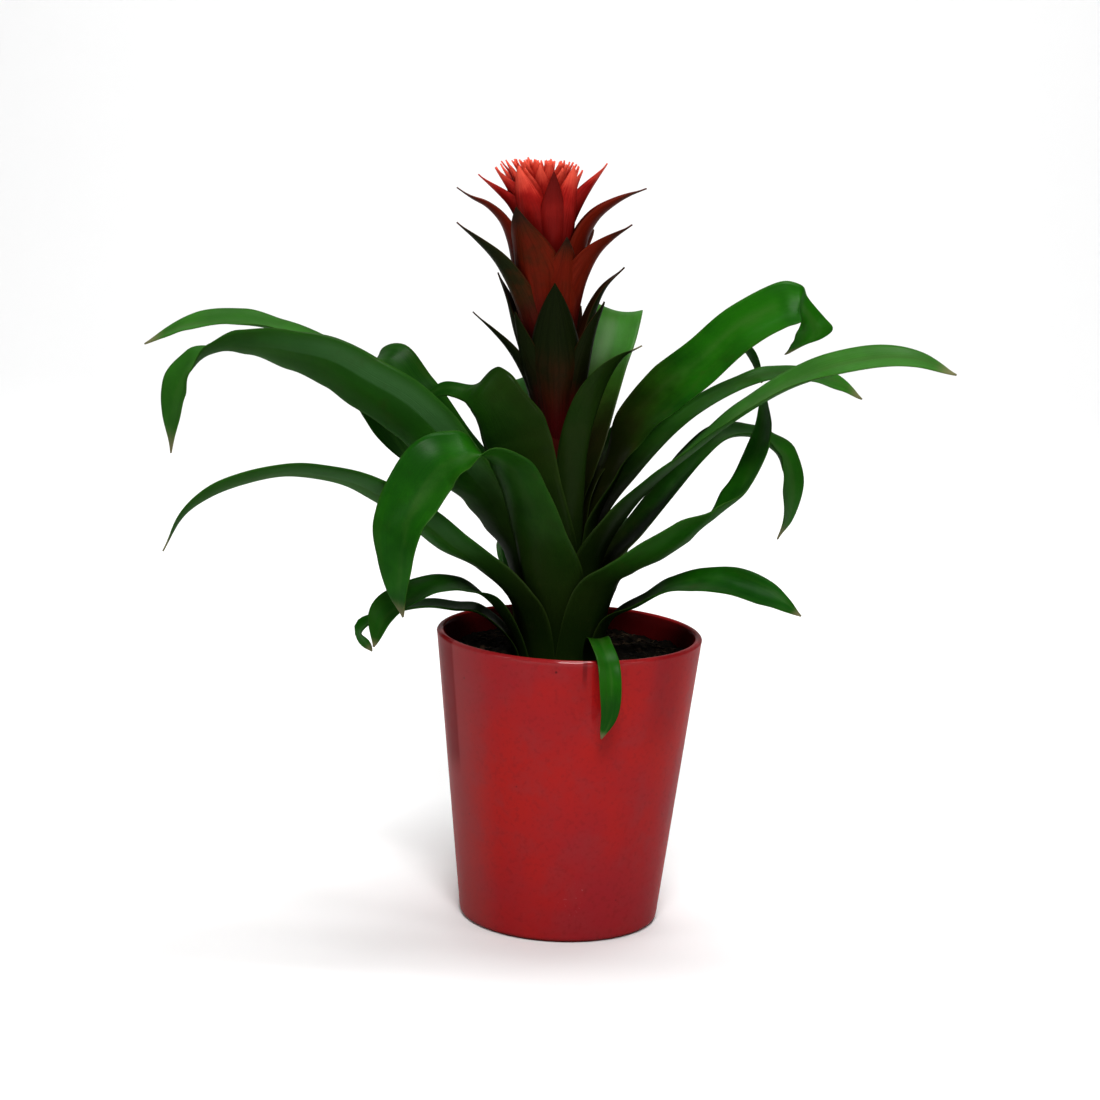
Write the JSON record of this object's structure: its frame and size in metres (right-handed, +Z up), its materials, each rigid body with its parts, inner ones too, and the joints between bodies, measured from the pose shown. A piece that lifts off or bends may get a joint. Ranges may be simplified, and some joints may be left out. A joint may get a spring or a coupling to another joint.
{
  "type": "guzmania in a glazed pot",
  "caption": "Rosette of strap leaves round an upright spike of red bracts, rooted in a round tapered pot with a red glaze.",
  "frame": {"origin": "centre of the flat underside of the pot", "axes": "+Z up along the pot's axis; +X to the right and +Y away from the viewer in the picture's view"},
  "size_m": [0.4097, 0.29, 0.3901],
  "materials": {
    "glazed_pot": "glossy dark red glaze",
    "potting_mix": "rough, fibrous and damp",
    "short_stem": "dull, woody",
    "dark_bracts": "waxy, dark maroon and green",
    "red_bracts": "waxy, brownish red with green tips",
    "coral_bracts": "waxy, coral red",
    "leaf": "smooth, waxy, dark green"
  },
  "bodies": {
    "root": {"pot": "glazed_pot", "potting_mix": "potting_mix", "short_stem": "short_stem", "flower_stalk": "dark_bracts", "outer_bracts": "red_bracts", "crown_bracts": "coral_bracts", "leaf_over_rim": "leaf", "leaf_low_left_back": "leaf", "leaf_low_left_front": "leaf", "leaf_low_right": "leaf", "leaf_left_arching": "leaf", "leaf_turned_up_right": "leaf", "leaf_front_left": "leaf", "leaf_right_drooping": "leaf", "leaf_right_long": "leaf", "leaf_left_long": "leaf", "leaf_left_rear": "leaf", "leaf_left_hooked": "leaf", "leaf_right_thin": "leaf", "leaf_right_upper": "leaf", "leaf_right_back_tip": "leaf", "leaf_left_broad": "leaf", "leaf_back_left": "leaf", "leaf_back_upright": "leaf", "leaf_inner_upright": "leaf", "leaf_back_long": "leaf", "leaf_back_arching": "leaf", "leaf_back_right_low": "leaf", "leaf_back_left_low": "leaf"}
  },
  "joints": []
}
